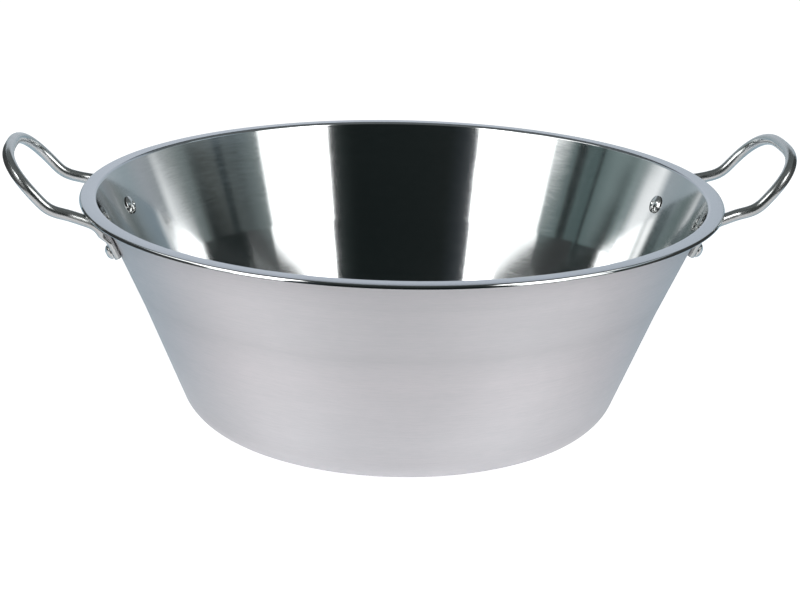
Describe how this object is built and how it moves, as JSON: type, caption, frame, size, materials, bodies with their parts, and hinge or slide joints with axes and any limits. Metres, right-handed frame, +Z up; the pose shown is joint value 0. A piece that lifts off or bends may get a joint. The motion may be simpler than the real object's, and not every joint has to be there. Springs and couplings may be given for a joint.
{
  "type": "jam pan",
  "caption": "Wide conical steel pan with a flat base, a flanged folded rim and riveted wire loop handles on opposite sides.",
  "frame": {"origin": "centre of the flat base's underside, on the surface the pan stands on, on the pan's turning axis", "axes": "+Z up along the turning axis, +X through the right handle, -Y towards the viewer of the picture"},
  "size_m": [0.4644, 0.38, 0.1666],
  "materials": {
    "pan_steel": "stainless steel, satin outside with fine lines round the axis, polished inside",
    "wire_steel": "polished stainless steel wire",
    "rivet_steel": "bright stainless steel"
  },
  "bodies": {
    "root": {"pan_body": "pan_steel", "handle_left": "wire_steel", "handle_right": "wire_steel", "rivet_left_front": "rivet_steel", "rivet_left_back": "rivet_steel", "rivet_right_front": "rivet_steel", "rivet_right_back": "rivet_steel"}
  },
  "joints": []
}
